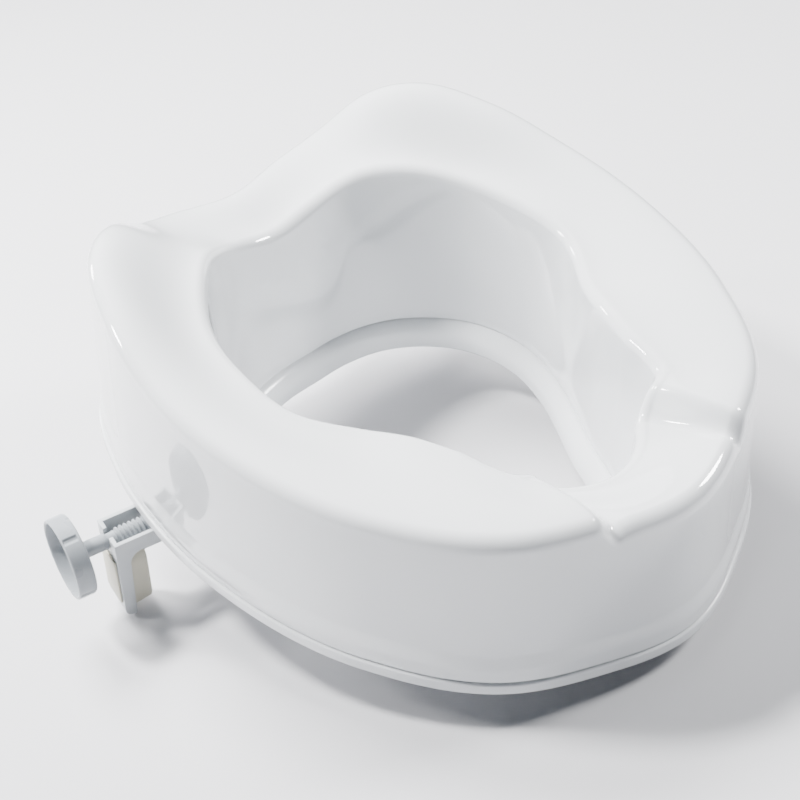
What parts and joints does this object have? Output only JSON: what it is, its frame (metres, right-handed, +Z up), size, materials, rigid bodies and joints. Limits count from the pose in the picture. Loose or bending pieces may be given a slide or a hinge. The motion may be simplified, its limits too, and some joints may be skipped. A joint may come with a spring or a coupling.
{
  "type": "raised toilet seat",
  "caption": "White moulded raised toilet seat with a keyhole opening, and two screw clamps with hand knobs and soft pads for the bowl rim.",
  "frame": {"origin": "centre of the whole object's footprint box, level with the lower tips of the clamp legs", "axes": "+Z up, -Y to the front of the seat, +X to the sitter's left; the two sides are alike"},
  "size_m": [0.4676, 0.4239, 0.2031],
  "materials": {
    "shell_white": "glossy moulded",
    "tray_white": "satin moulded",
    "bracket": "satin moulded",
    "clamp_plastic": "satin moulded",
    "pad_ivory": "matt soft",
    "pad_rubber": "matt",
    "steel": "zinc plated"
  },
  "bodies": {
    "seat": {"seat_shell": "shell_white", "base_tray": "tray_white", "tray_screws": "steel", "rim_pad_1": "pad_rubber", "rim_pad_2": "pad_rubber", "rim_pad_3": "pad_rubber", "rim_pad_4": "pad_rubber", "nut_block_left": "tray_white", "keeper_strap_left": "steel", "keeper_screws_left": "steel", "nut_block_right": "tray_white", "keeper_strap_right": "steel", "keeper_screws_right": "steel"},
    "clamp_left": {"bracket_left": "bracket", "grip_pad_left": "pad_ivory"},
    "knob_left": {"clamp_screw_left": "clamp_plastic", "hand_knob_left": "clamp_plastic"},
    "clamp_right": {"bracket_right": "bracket", "grip_pad_right": "pad_ivory"},
    "knob_right": {"clamp_screw_right": "clamp_plastic", "hand_knob_right": "clamp_plastic"}
  },
  "joints": [
    {"name": "clamp_slide_left", "type": "slide", "parent": "seat", "child": "clamp_left", "axis": [0.981, -0.1942, 0], "range_m": [-0.004, 0.022]},
    {"name": "knob_turn_left", "type": "hinge", "parent": "clamp_left", "child": "knob_left", "pos_m": [-0.1996, 0.07916, 0.061], "axis": [0.981, -0.1942, 0], "range_deg": [-480, 2640]},
    {"name": "clamp_slide_right", "type": "slide", "parent": "seat", "child": "clamp_right", "axis": [-0.981, -0.1942, 0], "range_m": [-0.004, 0.022]},
    {"name": "knob_turn_right", "type": "hinge", "parent": "clamp_right", "child": "knob_right", "pos_m": [0.1996, 0.07916, 0.061], "axis": [-0.981, -0.1942, 0], "range_deg": [-480, 2640]}
  ],
  "couplings": [
    {"joint": "clamp_slide_left", "follows": "knob_turn_left", "m_per_rad": 0.00047746},
    {"joint": "clamp_slide_right", "follows": "knob_turn_right", "m_per_rad": 0.00047746}
  ]
}
